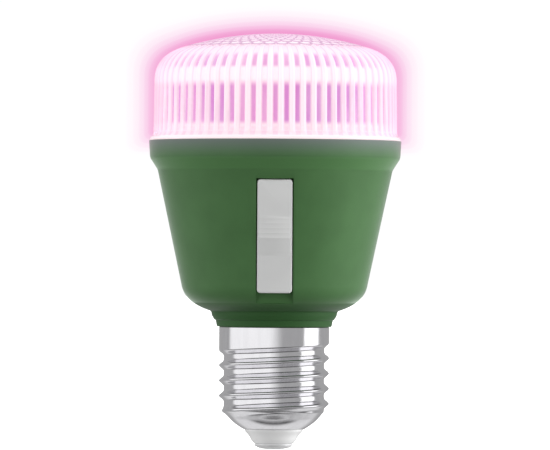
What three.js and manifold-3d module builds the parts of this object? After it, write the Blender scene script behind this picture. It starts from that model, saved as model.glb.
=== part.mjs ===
// A plug-in LED grow bulb: E27 screw cap, green housing with a slide switch, clear ribbed dome.
// Millimetres. The origin is the tip of the centre contact, +Z runs up the bulb's axis to the dome,
// the slide switch faces -Y.
import * as THREE from "three";
import { mergeVertices } from "three/addons/utils/BufferGeometryUtils.js";
import Module from "manifold-3d";

const wasm = await Module();
wasm.setup();

// Driving dimensions
const ROUND = 36; // sides of the large turned pieces
const ROUND_SMALL = 14; // sides of screws, capacitors and other small turned pieces
const FIT = 0.3; // gap between pieces that touch
const WALL = 1.8; // housing wall

const CAP_THREAD = { crest: 13.1, root: 11.9, pitch: 3.629, crestLevel: 18.12, bottom: 8.7 };
const CAP_THREAD_RUN_IN = { start: 8.1, full: 11.1 };
const CAP_SHEET = 0.4;
// Radius and level down the bare cone between the thread and the shell's lower edge
const CAP_CONE = [[11, 7.9], [10.2, 6.9], [9.1, 5.95], [7.25, 4.75]];
const CAP_FLOOR = 9.8; // top of the insulator inside the shell
const SLEEVE = { start: 24.6, full: 25.6, top: 28.9 };
const CONTACT = { flat: 1.6, radius: 4.6, rim: 0.95, top: 1.25, pin: 1, pinTop: 8.6 };

const SPIGOT = { radius: 11.15, bottom: 12, shoulder: 12.3, bore: 9.5 };
const NECK_BOTTOM = 29.2;
const NECK_TOP = 33;
const NECK_BORE = 11.6;
const TAPER = THREE.MathUtils.degToRad(12);
const CONE_START = { radius: 22.25, level: 39.3 };
const CONE_END_LEVEL = 66;
const FLARE = { radius: 29.75, level: 68.9 };
const RIM = { radius: 30.15, inner: 28.4, level: 73.85 };
const LEDGE_LEVEL = 69.3;

const DOME = { skirt: 71.7, foot: RIM.level + FIT, flange: 30, wall: 29.1 };
const SHOULDER = { radius: 28.95, level: 88.3 };
const CROWN = { radius: 21.9, level: 96, top: 99.2 };
const DOME_WALL = 1.6;

const SPREADER = { radius: 28.1, bottom: 69.4, top: 70.9, skirt: 25.8, skirtBottom: 67 };
const PAD = { radius: 23.4, top: 71.4 };
const SEAL_INNER = 26.3;
const LED_BOARD = { radius: 24, bottom: 71.5, top: 72.7 };
const WIRE_HOLE = 3;
const BOARD_SCREW_CIRCLE = 11;
const LED_COUNT = 12;
const LED_CIRCLE = 18;
const LED_HALF = 1.5;
const LED_HEIGHT = 0.8;
const MOUNTING_GAP = 0.1; // between a board or plate and what is fixed to it

const DRIVER = { back: 3.6, front: 2, bottom: 13, top: 62, tongue: 8.4, half: 17.9 };
const DRIVER_STEP = { low: 37.6, high: 42 }; // the board widens from its tongue between these levels
const RAIL = { bite: 1.2, front: 0.4, back: 5.2, low: 44, high: 60 };

const SLIDER = { width: 8.3, length: 27.4, centreLevel: 50.6, depth: 0.35, thickness: 1.6, travel: 2.2 };
const POCKET = { clearance: 0.25, floor: 2.3, bossBack: 4.3, bottomLevel: 34.4, topLevel: 64.3 };
const HUMP = { inset: 0.4, heel: -3.8, peak: -0.2, top: 4.8, height: 0.9, ridges: 5, ridgeHeight: 0.16 };
const STEM = { width: 3.2, half: 2, end: 7.6 };
const KEEPER = { width: 7.2, length: 8.4, front: 4.6, back: 5.6 };
const LEVER = { width: 2, half: 0.8, tip: 6.2, foot: 8.7, back: 9.7 };
const SWITCH = { front: 8, back: 11.4, width: 4.4, length: 8.6, sheet: 0.4 };
const SWITCH_BOARD = { front: 11.7, back: 12.9, width: 12, low: -11.4, high: 9.2 };
const SWITCH_POSTS = [-9.4, 7.2];
const POST = { bore: 1.1, radius: 1.9, root: 0.5 };

const MATERIALS = {
  clear: { color: 0xf6d9ee, roughness: 0.08, metalness: 0, transparent: true, opacity: 0.35 },
  green: { color: 0x44673e, roughness: 0.55, metalness: 0 },
  grey: { color: 0xc4c5c4, roughness: 0.45, metalness: 0 },
  white: { color: 0xe8e8e4, roughness: 0.4, metalness: 0 },
  black: { color: 0x1c1c1e, roughness: 0.5, metalness: 0 },
  nickel: { color: 0xcfcfd0, roughness: 0.2, metalness: 1 },
  tin: { color: 0xb9b9ba, roughness: 0.35, metalness: 1 },
  aluminium: { color: 0xb4b6b8, roughness: 0.4, metalness: 1 },
  silicone: { color: 0xd8d8d6, roughness: 0.6, metalness: 0 },
  led: { color: 0xf2c4e6, roughness: 0.3, metalness: 0 },
  boardWhite: { color: 0xeeeeea, roughness: 0.45, metalness: 0 },
  boardGreen: { color: 0x1f5a3a, roughness: 0.5, metalness: 0 },
  ferrite: { color: 0x3a3a3c, roughness: 0.7, metalness: 0 },
  copper: { color: 0xb87333, roughness: 0.35, metalness: 1 },
  yellow: { color: 0xe0b840, roughness: 0.5, metalness: 0 },
  blue: { color: 0x2a4f9c, roughness: 0.5, metalness: 0 },
  red: { color: 0xb02a2a, roughness: 0.5, metalness: 0 },
};

const bulb = new THREE.Group();
// The front wall's own frame: x across, y into the bulb, z up the sloping wall.
const frontWall = new THREE.Group();
frontWall.position.set(0, -coneRadius(SLIDER.centreLevel), SLIDER.centreLevel);
frontWall.rotation.x = TAPER;
bulb.add(frontWall);
bulb.updateMatrixWorld(true);

function coneRadius(level) {
  return CONE_START.radius + (level - CONE_START.level) * Math.tan(TAPER);
}

function addPiece(parent, name, geometry, finish) {
  const piece = new THREE.Mesh(geometry, new THREE.MeshStandardMaterial(MATERIALS[finish]));
  piece.name = name;
  parent.add(piece);
  return piece;
}

// Geometry helpers

// One closed surface with shared vertices and its faces pointing out.
function closed(geometry) {
  const plain = geometry.clone();
  plain.deleteAttribute("normal");
  plain.deleteAttribute("uv");
  const merged = mergeVertices(plain, 1e-4);
  if (signedVolume(merged) < 0) {
    const index = merged.index.array;
    for (let i = 0; i < index.length; i += 3) {
      [index[i + 1], index[i + 2]] = [index[i + 2], index[i + 1]];
    }
  }
  return merged;
}

function signedVolume(geometry) {
  const position = geometry.attributes.position;
  const index = geometry.index.array;
  const a = new THREE.Vector3();
  const b = new THREE.Vector3();
  const c = new THREE.Vector3();
  let volume = 0;
  for (let i = 0; i < index.length; i += 3) {
    a.fromBufferAttribute(position, index[i]);
    b.fromBufferAttribute(position, index[i + 1]);
    c.fromBufferAttribute(position, index[i + 2]);
    volume += a.dot(b.cross(c)) / 6;
  }
  return volume;
}

function solidOf(geometry) {
  const shape = closed(geometry);
  return new wasm.Manifold(
    new wasm.Mesh({
      numProp: 3,
      vertProperties: new Float32Array(shape.attributes.position.array),
      triVerts: new Uint32Array(shape.index.array),
    }),
  );
}

function geometryOf(solid) {
  const mesh = solid.getMesh();
  const geometry = new THREE.BufferGeometry();
  geometry.setAttribute("position", new THREE.BufferAttribute(mesh.vertProperties, 3));
  geometry.setIndex(new THREE.BufferAttribute(mesh.triVerts, 1));
  geometry.computeVertexNormals();
  return geometry;
}

function cut(geometry, ...tools) {
  return geometryOf(tools.reduce((solid, tool) => solid.subtract(solidOf(tool)), solidOf(geometry)));
}

function join(geometry, ...others) {
  return geometryOf(others.reduce((solid, other) => solid.add(solidOf(other)), solidOf(geometry)));
}

function common(a, b) {
  return geometryOf(solidOf(a).intersect(solidOf(b)));
}

// A profile of [radius, level] points turned about the bulb's axis. Its ends lie on the axis, or it
// closes on itself.
function turned(points, sides = ROUND) {
  const profile = points.map(([radius, level]) => new THREE.Vector2(radius, level));
  return closed(new THREE.LatheGeometry(profile, sides).rotateX(Math.PI / 2));
}

function ring(inner, outer, bottom, top, sides = ROUND) {
  return turned([[inner, bottom], [outer, bottom], [outer, top], [inner, top], [inner, bottom]], sides);
}

function rod(radius, bottom, top, sides = ROUND_SMALL) {
  return turned([[0, bottom], [radius, bottom], [radius, top], [0, top]], sides);
}

// Points of a curved stretch of a profile, without its first point.
function bend(from, control, to, steps) {
  const curve = new THREE.QuadraticBezierCurve(
    new THREE.Vector2(...from),
    new THREE.Vector2(...control),
    new THREE.Vector2(...to),
  );
  return curve.getPoints(steps).slice(1).map((point) => [point.x, point.y]);
}

// A box between two levels on each axis.
function block([x0, x1], [y0, y1], [z0, z1]) {
  const box = new THREE.BoxGeometry(x1 - x0, y1 - y0, z1 - z0);
  return closed(box.translate((x0 + x1) / 2, (y0 + y1) / 2, (z0 + z1) / 2));
}

function roundedRectangle(width, height, radius) {
  const x = width / 2;
  const y = height / 2;
  const shape = new THREE.Shape();
  shape.moveTo(-x + radius, -y);
  shape.lineTo(x - radius, -y);
  shape.quadraticCurveTo(x, -y, x, -y + radius);
  shape.lineTo(x, y - radius);
  shape.quadraticCurveTo(x, y, x - radius, y);
  shape.lineTo(-x + radius, y);
  shape.quadraticCurveTo(-x, y, -x, y - radius);
  shape.lineTo(-x, -y + radius);
  shape.quadraticCurveTo(-x, -y, -x + radius, -y);
  return shape;
}

// A slab with rounded corners and softened edges, drawn in x and z and `depth` thick along y.
function slab(width, height, depth, radius, edge) {
  const geometry = new THREE.ExtrudeGeometry(roundedRectangle(width - 2 * edge, height - 2 * edge, radius), {
    depth: depth - 2 * edge,
    bevelEnabled: edge > 0,
    bevelThickness: edge,
    bevelSize: edge,
    bevelSegments: 2,
    curveSegments: 3,
  });
  return closed(geometry.translate(0, 0, edge).rotateX(Math.PI / 2).translate(0, depth, 0));
}

function wire(radius, ...route) {
  const section = new THREE.Shape();
  section.absarc(0, 0, radius, 0, 2 * Math.PI);
  const path = new THREE.CatmullRomCurve3(route.map((point) => new THREE.Vector3(...point)));
  return closed(
    new THREE.ExtrudeGeometry(section, {
      steps: 9,
      curveSegments: 3,
      extrudePath: path,
      bevelEnabled: false,
    }),
  );
}

function onFrontWall(geometry) {
  return geometry.clone().applyMatrix4(frontWall.matrixWorld);
}

// Screw cap

const smoothstep = THREE.MathUtils.smoothstep;

// Radius of the rolled sheet at a level and an angle: a right-hand thread below a plain sleeve.
function threadRadius(level, angle) {
  const { crest, root, pitch, crestLevel } = CAP_THREAD;
  const turns = (level - crestLevel) / pitch - angle / (2 * Math.PI);
  const wave = Math.pow(0.5 + 0.5 * Math.cos(2 * Math.PI * turns), 1.5);
  const runIn = smoothstep(level, CAP_THREAD_RUN_IN.start, CAP_THREAD_RUN_IN.full);
  const sleeve = smoothstep(level, SLEEVE.start, SLEEVE.full);
  return root + (crest - root) * Math.max(wave * runIn, sleeve);
}

function capShell() {
  const { root, bottom } = CAP_THREAD;
  const levels = [];
  const rowStep = CAP_THREAD.pitch / 6;
  for (let level = bottom; level < SLEEVE.full; level += rowStep) {
    levels.push(level);
  }
  levels.push(SLEEVE.full, SLEEVE.top);
  const outerRows = [
    ...CAP_CONE.toReversed().map((point) => () => point),
    ...levels.map((level) => (angle) => [threadRadius(level, angle), level]),
  ];
  const inner = root - CAP_SHEET;
  const sleeveInner = CAP_THREAD.crest - CAP_SHEET;
  const innerRows = [
    [sleeveInner, SLEEVE.top],
    [sleeveInner, SLEEVE.full + CAP_SHEET],
    [inner, SLEEVE.full],
    [inner, bottom + CAP_SHEET / 2],
    ...CAP_CONE.map(([radius, level]) => [radius - CAP_SHEET * 0.6, level + CAP_SHEET]),
  ].map((point) => () => point);
  return revolvedRows([...outerRows, ...innerRows], 30);
}

// A closed band: each row gives [radius, level] at an angle, and the last row joins the first.
function revolvedRows(rows, sides) {
  const positions = [];
  const index = [];
  for (const row of rows) {
    for (let side = 0; side < sides; side += 1) {
      const angle = (2 * Math.PI * side) / sides;
      const [radius, level] = row(angle);
      positions.push(radius * Math.cos(angle), radius * Math.sin(angle), level);
    }
  }
  rows.forEach((_, r) => {
    const next = (r + 1) % rows.length;
    for (let side = 0; side < sides; side += 1) {
      const beside = (side + 1) % sides;
      const [a, b, c, d] = [r * sides + side, r * sides + beside, next * sides + beside, next * sides + side];
      index.push(a, b, c, a, c, d);
    }
  });
  const geometry = new THREE.BufferGeometry();
  geometry.setAttribute("position", new THREE.Float32BufferAttribute(positions, 3));
  geometry.setIndex(index);
  return closed(geometry);
}

// A glassy plug: a skirt below the shell's edge, and a body that stays FIT inside the shell's cone.
function capInsulator() {
  const foot = CONTACT.top + MOUNTING_GAP;
  const [edgeRadius, edgeLevel] = CAP_CONE.at(-1);
  const lip = edgeLevel - FIT;
  const throat = edgeRadius - 0.7;
  const hole = CONTACT.pin + 0.4;
  const waist = CAP_CONE[1];
  return turned([
    [hole, foot],
    [CONTACT.radius + 0.1, foot],
    [CONTACT.radius + 1.1, foot + 1.9],
    [edgeRadius - 0.35, lip],
    [throat, lip],
    [throat, edgeLevel + 0.8],
    [waist[0] - 1.1, waist[1] + 0.3],
    [CAP_THREAD.root - 1.1, CAP_FLOOR - 0.6],
    [CAP_THREAD.root - 1.1, CAP_FLOOR],
    [hole, CAP_FLOOR],
    [hole, foot],
  ], 24);
}

function centreContact() {
  const { flat, radius, rim, top, pin, pinTop } = CONTACT;
  return turned([
    [0, 0],
    [flat, 0],
    ...bend([flat, 0], [radius - 0.7, 0.1], [radius, rim], 4),
    [radius, top - 0.1],
    [radius - 0.1, top],
    [pin, top],
    [pin, pinTop],
    [0, pinTop],
  ], 24);
}

// Housing

function housingOutline() {
  const underside = [15.4, NECK_TOP];
  const coneStart = [CONE_START.radius, CONE_START.level];
  const shoulder = SLEEVE.full + 0.7;
  return [
    [SPIGOT.radius, SPIGOT.bottom],
    [SPIGOT.radius, shoulder],
    [SPIGOT.shoulder, shoulder],
    [SPIGOT.shoulder, NECK_BOTTOM],
    [13.75, NECK_BOTTOM],
    [14.05, 30.8],
    [14.5, 31.05],
    ...bend([14.5, 31.05], [15, 31.3], [15.08, 32.3], 2),
    underside,
    ...bend(underside, [21.6, 34.95], coneStart, 6),
    [coneRadius(CONE_END_LEVEL), CONE_END_LEVEL],
    [FLARE.radius, FLARE.level],
    ...bend([FLARE.radius, FLARE.level], [RIM.radius - 0.2, FLARE.level + 0.3], [RIM.radius - 0.1, 70.2], 2),
    [RIM.radius, RIM.level - 0.3],
    [RIM.radius - 0.3, RIM.level],
  ];
}

function housingCavity() {
  const wall = WALL / Math.cos(TAPER);
  const floorEdge = [12.6, NECK_TOP + 1.6];
  return [
    [SPIGOT.bore, SPIGOT.bottom - 1],
    [SPIGOT.bore, SLEEVE.full],
    [NECK_BORE, SLEEVE.full + 1.5],
    [NECK_BORE, NECK_TOP],
    floorEdge,
    ...bend(floorEdge, [19.4, 36.6], [coneRadius(40) - wall, 40], 3),
    [coneRadius(65.5) - wall, 65.5],
    [26.6, LEDGE_LEVEL],
    [RIM.inner, LEDGE_LEVEL],
    [RIM.inner, RIM.level + 1],
  ];
}

function solidOfRevolution(outline) {
  const bottom = [0, outline[0][1]];
  const top = [0, outline[outline.length - 1][1]];
  return turned([bottom, ...outline, top]);
}

// Distance along the sloping wall from the slider's centre to a level on the cone.
function alongWall(level) {
  return (level - SLIDER.centreLevel) / Math.cos(TAPER);
}

function pocketTools() {
  const halfWidth = SLIDER.width / 2 + POCKET.clearance;
  const low = alongWall(POCKET.bottomLevel);
  const high = alongWall(POCKET.topLevel);
  const boss = block([-halfWidth - 2, halfWidth + 2], [1, POCKET.bossBack], [low - 1.5, high + 1.2]);
  const posts = SWITCH_POSTS.map((place) => switchPost(place));
  const pocket = block([-halfWidth, halfWidth], [-5, POCKET.floor], [low, high]);
  const slotHalf = STEM.width / 2 + FIT;
  const slotRange = [-STEM.half - SLIDER.travel - FIT, STEM.half + FIT];
  const slot = block([-slotHalf, slotHalf], [0, POCKET.bossBack + 1], slotRange);
  return { boss, posts, pocket, slot };
}

function switchPost(place) {
  const height = SWITCH_BOARD.front - FIT - POCKET.bossBack + POST.root;
  const post = ring(POST.bore, POST.radius, 0, height, 16);
  return post.rotateX(-Math.PI / 2).translate(0, POCKET.bossBack - POST.root, place);
}

// Two grooved rails that hold the driver board's long edges.
function boardRails(outer) {
  const reach = DRIVER.half + FIT;
  const groove = block([-reach, reach], [DRIVER.front - FIT, DRIVER.back + FIT], [0, CONE_END_LEVEL]);
  return [-1, 1].map((side) => {
    const span = [side * (DRIVER.half - RAIL.bite), side * coneRadius(RAIL.low)].sort((a, b) => a - b);
    const rail = block(span, [RAIL.front, RAIL.back], [RAIL.low, RAIL.high]);
    return cut(common(rail, outer), groove);
  });
}

function housingShell() {
  const outer = solidOfRevolution(housingOutline());
  const cavity = solidOfRevolution(housingCavity());
  const { boss, posts, pocket, slot } = pocketTools();
  const innerBoss = common(onFrontWall(boss), outer);
  const shell = join(cut(outer, cavity), innerBoss, ...posts.map(onFrontWall), ...boardRails(outer));
  return cut(shell, onFrontWall(pocket), onFrontWall(slot));
}

// Dome and light engine

function lensDome() {
  const outerShoulder = [SHOULDER.radius, SHOULDER.level];
  const outerCrown = [CROWN.radius, CROWN.level];
  const innerShoulder = [SHOULDER.radius - DOME_WALL, SHOULDER.level];
  const innerCrown = [CROWN.radius - 0.8, CROWN.level - DOME_WALL];
  const innerTop = CROWN.top - DOME_WALL;
  const skirt = RIM.inner - FIT;
  const outside = [
    [skirt - DOME_WALL, DOME.skirt],
    [skirt, DOME.skirt],
    [skirt, DOME.foot],
    [DOME.flange, DOME.foot],
    [DOME.flange, DOME.foot + 0.6],
    [DOME.wall + 0.2, DOME.foot + 1.1],
    [DOME.wall, 76.2],
    outerShoulder,
    ...bend(outerShoulder, [28.7, 94], outerCrown, 5),
    ...bend(outerCrown, [CROWN.radius / 2, CROWN.top], [0, CROWN.top], 4),
  ];
  const inside = [
    [0, innerTop],
    ...bend([0, innerTop], [CROWN.radius / 2, innerTop], innerCrown, 3),
    ...bend(innerCrown, [27.1, 92.6], innerShoulder, 3),
    [skirt - DOME_WALL, 76],
  ];
  return turned([...outside, ...inside, outside[0]]);
}

function lensSeal() {
  return ring(SEAL_INNER, RIM.inner - FIT, SPREADER.top + MOUNTING_GAP, DOME.skirt - FIT);
}

function drilled(disc, bottom, top) {
  const screwHoles = boardScrewPlaces().map(([x, y]) => rod(1.6, bottom - 1, top + 1, 12).translate(x, y, 0));
  return cut(disc, ...screwHoles);
}

function heatSpreader() {
  const { radius, bottom, top, skirt, skirtBottom } = SPREADER;
  const pan = turned([
    [WIRE_HOLE, bottom],
    [skirt - 1.4, bottom],
    [skirt - 1.4, skirtBottom],
    [skirt, skirtBottom],
    [skirt, bottom],
    [radius, bottom],
    [radius, top],
    [WIRE_HOLE, top],
    [WIRE_HOLE, bottom],
  ]);
  return drilled(pan, bottom, top);
}

function boardDisc(radius, bottom, top) {
  return drilled(ring(WIRE_HOLE, radius, bottom, top), bottom, top);
}

function boardScrewPlaces() {
  return [90, 210, 330].map((degrees) => {
    const angle = THREE.MathUtils.degToRad(degrees);
    return [BOARD_SCREW_CIRCLE * Math.cos(angle), BOARD_SCREW_CIRCLE * Math.sin(angle)];
  });
}

// A pan-head screw with its head's underside at level 0 and its shank pointing down.
function panScrew(shank, length, head) {
  const body = turned([
    [0, -length],
    [shank, -length],
    [shank, 0],
    [head, 0],
    [head, 0.7],
    ...bend([head, 0.7], [head - 0.1, 1.4], [head - 0.9, 1.5], 2),
    [0, 1.5],
  ], ROUND_SMALL);
  const arm = head * 0.6;
  const slots = [block([-arm, arm], [-0.2, 0.2], [0.9, 3]), block([-0.2, 0.2], [-arm, arm], [0.9, 3])];
  return cut(body, ...slots);
}

function addLightEngine() {
  addPiece(bulb, "heat_spreader", heatSpreader(), "aluminium");
  addPiece(bulb, "thermal_pad", boardDisc(PAD.radius, SPREADER.top + MOUNTING_GAP, PAD.top), "silicone");
  addPiece(bulb, "led_board", boardDisc(LED_BOARD.radius, LED_BOARD.bottom, LED_BOARD.top), "boardWhite");
  const onBoard = LED_BOARD.top + MOUNTING_GAP;
  const ledSpan = [-LED_HALF, LED_HALF];
  boardScrewPlaces().forEach(([x, y], i) => {
    const screw = addPiece(bulb, `board_screw_${i + 1}`, panScrew(1.25, 5, 2.4), "tin");
    screw.position.set(x, y, onBoard);
  });
  for (let i = 0; i < LED_COUNT; i += 1) {
    const angle = (2 * Math.PI * (i + 0.5)) / LED_COUNT;
    const name = `led_${String(i + 1).padStart(2, "0")}`;
    const chip = addPiece(bulb, name, block(ledSpan, ledSpan, [0, LED_HEIGHT]), "led");
    chip.position.set(LED_CIRCLE * Math.cos(angle), LED_CIRCLE * Math.sin(angle), onBoard);
    chip.rotation.z = angle;
  }
  const socket = slab(7, 3, 5, 0.4, 0.2).translate(0, -9.5, LED_BOARD.top + 1.6);
  addPiece(bulb, "led_connector", socket, "white");
}

// Driver

function driverBoard() {
  const { back, front, bottom, top, tongue, half } = DRIVER;
  const { low, high } = DRIVER_STEP;
  const outline = new THREE.Shape(
    [
      [-tongue, bottom],
      [tongue, bottom],
      [tongue, low],
      [half, high],
      [half, top],
      [-half, top],
      [-half, high],
      [-tongue, low],
    ].map(([x, z]) => new THREE.Vector2(x, z)),
  );
  const plate = new THREE.ExtrudeGeometry(outline, { depth: back - front, bevelEnabled: false });
  return closed(plate.rotateX(Math.PI / 2).translate(0, back, 0));
}

function can(radius, height) {
  const groove = height - 2;
  return turned([
    [0, 0],
    [radius - 0.3, 0],
    [radius, 0.4],
    [radius, groove - 0.5],
    [radius - 0.4, groove],
    [radius, groove + 0.5],
    [radius, height - 0.3],
    [radius - 0.4, height],
    [0, height],
  ], ROUND_SMALL);
}

function drumCore() {
  return turned([[0, 0], [4, 0], [4, 1.2], [3.2, 1.5], [3.2, 7], [4, 7.3], [4, 8.5], [0, 8.5]], ROUND_SMALL);
}

const CORE = { width: 15, height: 13, depth: 6, leg: 4.5, window: [3.2, 9] };

function transformerCore() {
  const { width, height, depth, leg, window } = CORE;
  const frame = block([-width / 2, width / 2], [-depth / 2, depth / 2], [-height / 2, height / 2]);
  const windows = [-1, 1].map((side) => {
    const middle = side * (leg + window[0]) / 2;
    const span = [middle - window[0] / 2, middle + window[0] / 2];
    return block(span, [-depth, depth], [-window[1] / 2, window[1] / 2]);
  });
  return cut(frame, ...windows);
}

function transformerWinding() {
  const { depth, leg, window } = CORE;
  const thickness = window[0] - 2 * FIT;
  const hole = [leg + 2 * FIT, depth + 2 * FIT];
  const outline = roundedRectangle(hole[0] + 2 * thickness, hole[1] + 2 * thickness, 1.6);
  outline.holes.push(roundedRectangle(hole[0], hole[1], 0.1));
  const height = window[1] - 2 * FIT;
  const coil = new THREE.ExtrudeGeometry(outline, { depth: height, bevelEnabled: false, curveSegments: 3 });
  return closed(coil.translate(0, 0, -height / 2));
}

function disc(radius, thickness) {
  return rod(radius, -thickness / 2, thickness / 2).rotateX(Math.PI / 2);
}

function placed(geometry, x, y, z) {
  return geometry.translate(x, y, z);
}

function addDriver() {
  const back = DRIVER.back + 0.2;
  const front = DRIVER.front - 0.2;
  addPiece(bulb, "driver_board", driverBoard(), "boardGreen");
  addPiece(bulb, "bulk_capacitor", placed(can(4.6, 16), 0, -3.2, 17), "black");
  addPiece(bulb, "output_capacitor", placed(can(4, 12), 12.2, back + 4, 44), "black");
  addPiece(bulb, "transformer_core", placed(transformerCore(), 0, back + 5.9, 50), "ferrite");
  addPiece(bulb, "transformer_winding", placed(transformerWinding(), 0, back + 5.9, 50), "copper");
  addPiece(bulb, "filter_inductor", placed(drumCore(), -11, front - 4.2, 43), "copper");
  addPiece(bulb, "bridge_rectifier", placed(slab(6.5, 5, 2.6, 0.3, 0.2), 0, back, 27), "black");
  addPiece(bulb, "controller_ic", placed(slab(5, 4, 1.6, 0.2, 0.15), -2, front - 1.6, 42), "black");
  addPiece(bulb, "film_capacitor", placed(slab(7, 10, 5.5, 0.8, 0.4), -12.6, back, 51), "yellow");
  addPiece(bulb, "varistor", placed(disc(4.3, 3.4), 10.5, front - 1.8, 45.5), "blue");
  addPiece(bulb, "fuse_resistor", placed(can(1.4, 7), -6.7, 0.2, 20), "white");
  addPiece(bulb, "radio_board", placed(slab(15, 10, 0.8, 0.3, 0), 8, front - 0.8, 56), "boardGreen");
  addPiece(bulb, "radio_shield", placed(slab(9.5, 8.5, 1.8, 0.5, 0.25), 6.4, front - 2.8, 56), "tin");
  addWires(front, back);
}

function addWires(front, back) {
  const radius = 0.6;
  const add = (name, finish, ...route) => addPiece(bulb, name, wire(radius, ...route), finish);
  add("line_wire", "red", [0, 0, 9], [-1.5, 0.3, 11], [-4, 0.9, 12.4], [-4.6, front - radius, 14.6]);
  add("neutral_wire", "black", [0, 10.6, 11], [0, 8.6, 11], [1, 6, 12.6], [2.5, back + radius, 17]);
  const connectorBack = -4.3;
  const rise = LED_BOARD.top + 3.2;
  for (const [name, finish, side] of [["led_wire_positive", "red", 1], ["led_wire_negative", "black", -1]]) {
    add(
      name,
      finish,
      [side * 3, back + radius, 58.5],
      [side * 2.4, back + radius, 62],
      [side * 1.3, 1.2, 68],
      [side * 1.1, 0, 72],
      [side * 1.2, -1.6, rise - 0.4],
      [side * 1.5, connectorBack + 0.2, rise - 0.1],
    );
  }
  for (const [name, finish, side] of [["switch_wire_left", "red", -1], ["switch_wire_right", "black", 1]]) {
    add(
      name,
      finish,
      [side * 3.5, -9.2, 47],
      [side * 3.7, -6.4, 45],
      [side * 4, -2.4, 39.6],
      [side * 4.2, front - radius - MOUNTING_GAP, 36.5],
    );
  }
}

// Slide switch, drawn in the front wall's frame

function sliderHump() {
  const { inset, heel, peak, top, height, ridges, ridgeHeight } = HUMP;
  const face = SLIDER.depth + 0.3;
  const ridgePitch = (top - peak) / ridges;
  const shape = new THREE.Shape();
  shape.moveTo(face, heel);
  shape.lineTo(SLIDER.depth - height + 0.1, peak - 0.25);
  shape.lineTo(SLIDER.depth - height, peak);
  for (let i = 1; i <= ridges; i += 1) {
    const share = i / ridges;
    const place = peak + ridgePitch * i;
    const depth = SLIDER.depth - height * (1 - share);
    shape.lineTo(depth + ridgeHeight * (1 - share), place - ridgePitch * 0.3);
    shape.lineTo(depth, place);
  }
  shape.lineTo(face, top + 0.1);
  const width = SLIDER.width - 2 * inset;
  const wedge = new THREE.ExtrudeGeometry(shape, { depth: width, bevelEnabled: false });
  // Shape x becomes depth (y), shape y becomes z, and the extrusion runs across (x).
  const turn = new THREE.Matrix4().makeBasis(
    new THREE.Vector3(0, 1, 0),
    new THREE.Vector3(0, 0, 1),
    new THREE.Vector3(1, 0, 0),
  );
  return closed(wedge.applyMatrix4(turn).translate(-width / 2, 0, 0));
}

function sliderPlate() {
  const { width, length, depth, thickness } = SLIDER;
  const plate = slab(width, length, thickness, 1, 0.3).translate(0, depth, 0);
  const stemHalf = STEM.width / 2;
  const stem = block([-stemHalf, stemHalf], [depth + thickness - 0.5, STEM.end], [-STEM.half, STEM.half]);
  const notchHalf = LEVER.half + FIT;
  const notchDepth = [KEEPER.back + FIT, STEM.end + 1];
  const notch = block([-stemHalf - 1, stemHalf + 1], notchDepth, [-notchHalf, notchHalf]);
  return cut(join(plate, sliderHump(), stem), notch);
}

function sliderKeeper() {
  const { width, length, front, back } = KEEPER;
  const plate = slab(width, length, back - front, 0.8, 0.2).translate(0, front, 0);
  const holeHalf = STEM.width / 2 + FIT;
  const hole = block([-holeHalf, holeHalf], [front - 1, back + 1], [-STEM.half - FIT, STEM.half + FIT]);
  return cut(plate, hole);
}

function switchLever() {
  const { width, half, tip, foot: footFront, back } = LEVER;
  const knob = block([-width / 2, width / 2], [tip, (footFront + back) / 2], [-half, half]);
  const foot = block([-1.4, 1.4], [footFront, back], [-1.5, 1.5]);
  return join(knob, foot);
}

function switchFrame() {
  const { front, back, width, length, sheet } = SWITCH;
  const outside = slab(width, length, back - front, 0.4, 0.15).translate(0, front, 0);
  const halfWidth = width / 2 - sheet;
  const halfLength = length / 2 - sheet;
  const inside = block([-halfWidth, halfWidth], [front + sheet, back + 1], [-halfLength, halfLength]);
  const slotHalf = LEVER.width / 2 + FIT;
  const slotRange = [-LEVER.half - SLIDER.travel - FIT, LEVER.half + FIT];
  const slot = block([-slotHalf, slotHalf], [front - 1, front + 1], slotRange);
  return cut(outside, inside, slot);
}

function switchBase() {
  const halfWidth = SWITCH.width / 2 - SWITCH.sheet - FIT;
  const halfLength = SWITCH.length / 2 - SWITCH.sheet - FIT;
  return block([-halfWidth, halfWidth], [LEVER.back + FIT, SWITCH.back], [-halfLength, halfLength]);
}

function switchBoard() {
  const { front, back, width, low, high } = SWITCH_BOARD;
  const plate = slab(width, high - low, back - front, 1, 0).translate(0, front, (low + high) / 2);
  const holes = SWITCH_POSTS.map((place) => disc(1.3, 4).translate(0, front + 0.5, place));
  return cut(plate, ...holes);
}

function addSwitch() {
  addPiece(frontWall, "slider_plate", sliderPlate(), "grey");
  addPiece(frontWall, "slider_keeper", sliderKeeper(), "white");
  addPiece(frontWall, "switch_lever", switchLever(), "black");
  addPiece(frontWall, "switch_frame", switchFrame(), "tin");
  addPiece(frontWall, "switch_base", switchBase(), "black");
  addPiece(frontWall, "switch_board", switchBoard(), "boardGreen");
  SWITCH_POSTS.forEach((place, i) => {
    const screw = addPiece(frontWall, `switch_screw_${i + 1}`, panScrew(0.8, 4, 1.8), "tin");
    // The screw points out through the wall: its own +Z turns to the wall's +Y.
    screw.rotation.x = -Math.PI / 2;
    screw.position.set(0, SWITCH_BOARD.back + FIT, place);
  });
}

addPiece(bulb, "housing_shell", housingShell(), "green");
addPiece(bulb, "lens_dome", lensDome(), "clear");
addPiece(bulb, "lens_seal", lensSeal(), "silicone");
addPiece(bulb, "cap_shell", capShell(), "nickel");
addPiece(bulb, "cap_insulator", capInsulator(), "white");
addPiece(bulb, "centre_contact", centreContact(), "tin");
addLightEngine();
addDriver();
addSwitch();

export default bulb;
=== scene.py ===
"""Visual model of a screw-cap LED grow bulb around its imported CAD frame.

Lengths below are in millimetres in the bulb's own frame and are turned into metres where a mesh is made.
"""

import math

import bmesh
import bpy
import numpy as np
from mathutils import Matrix, Vector


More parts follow.
